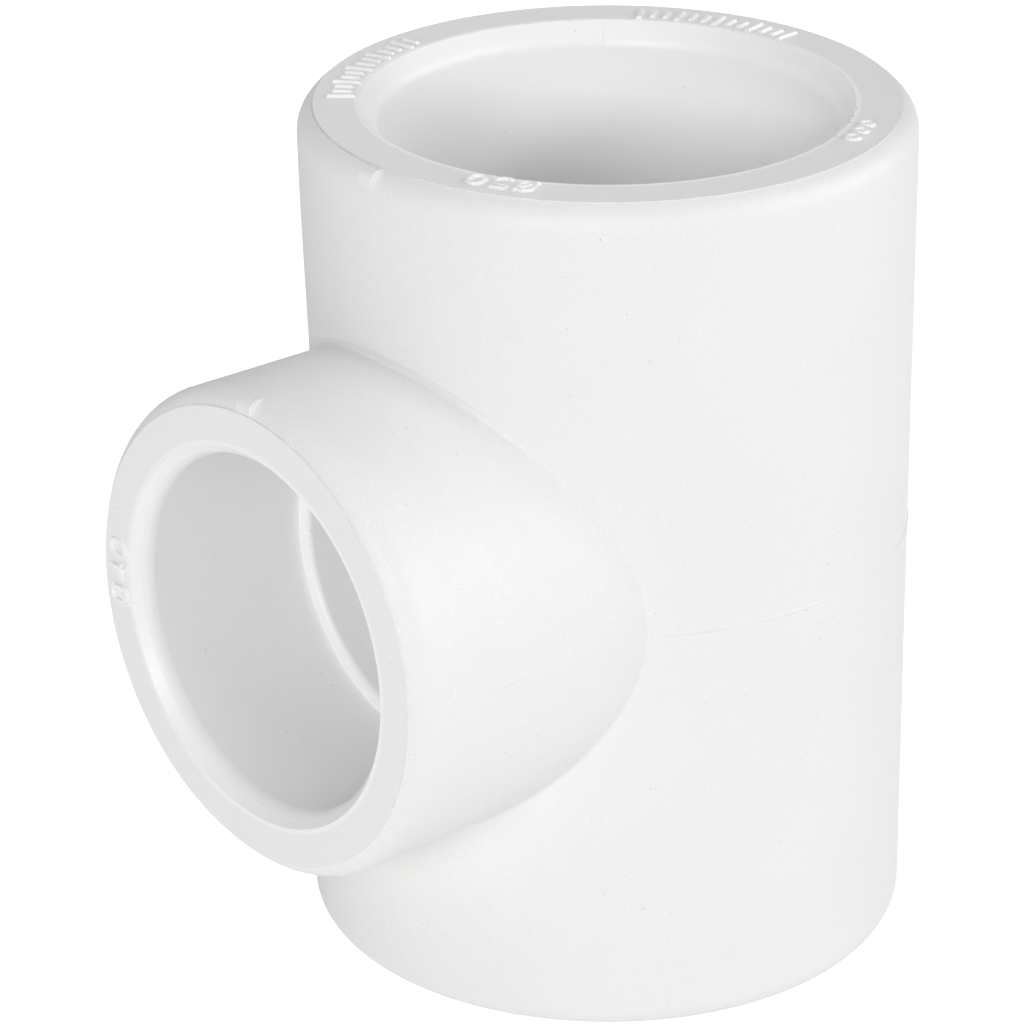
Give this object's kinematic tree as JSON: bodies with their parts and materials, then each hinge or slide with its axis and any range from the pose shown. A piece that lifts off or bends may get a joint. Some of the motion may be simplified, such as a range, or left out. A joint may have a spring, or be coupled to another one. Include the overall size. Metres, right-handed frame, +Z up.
{
  "type": "reducing tee fitting",
  "caption": "White plastic socket-fusion tee: straight run with two wide pipe sockets and a narrower side socket at mid-height, rounded rims, raised size numerals.",
  "frame": {"origin": "centre of the lower end face of the run, on the run axis", "axes": "+Z up along the run, -Y along the side branch, out of its mouth, +X to the right seen from the branch"},
  "size_m": [0.0658, 0.0832, 0.0947],
  "materials": {
    "moulded_body": "slightly translucent white polypropylene, fine moulded grain, satin",
    "raised_marks": "same white polypropylene, moulded in one with the body"
  },
  "bodies": {
    "root": {"tee_body": "moulded_body", "upper_size_mark": "raised_marks", "branch_size_mark": "raised_marks", "left_graduation_bars": "raised_marks", "right_graduation_bars": "raised_marks", "cavity_rings": "raised_marks", "upper_rim_tick": "raised_marks", "branch_rim_tick": "raised_marks"}
  },
  "joints": []
}
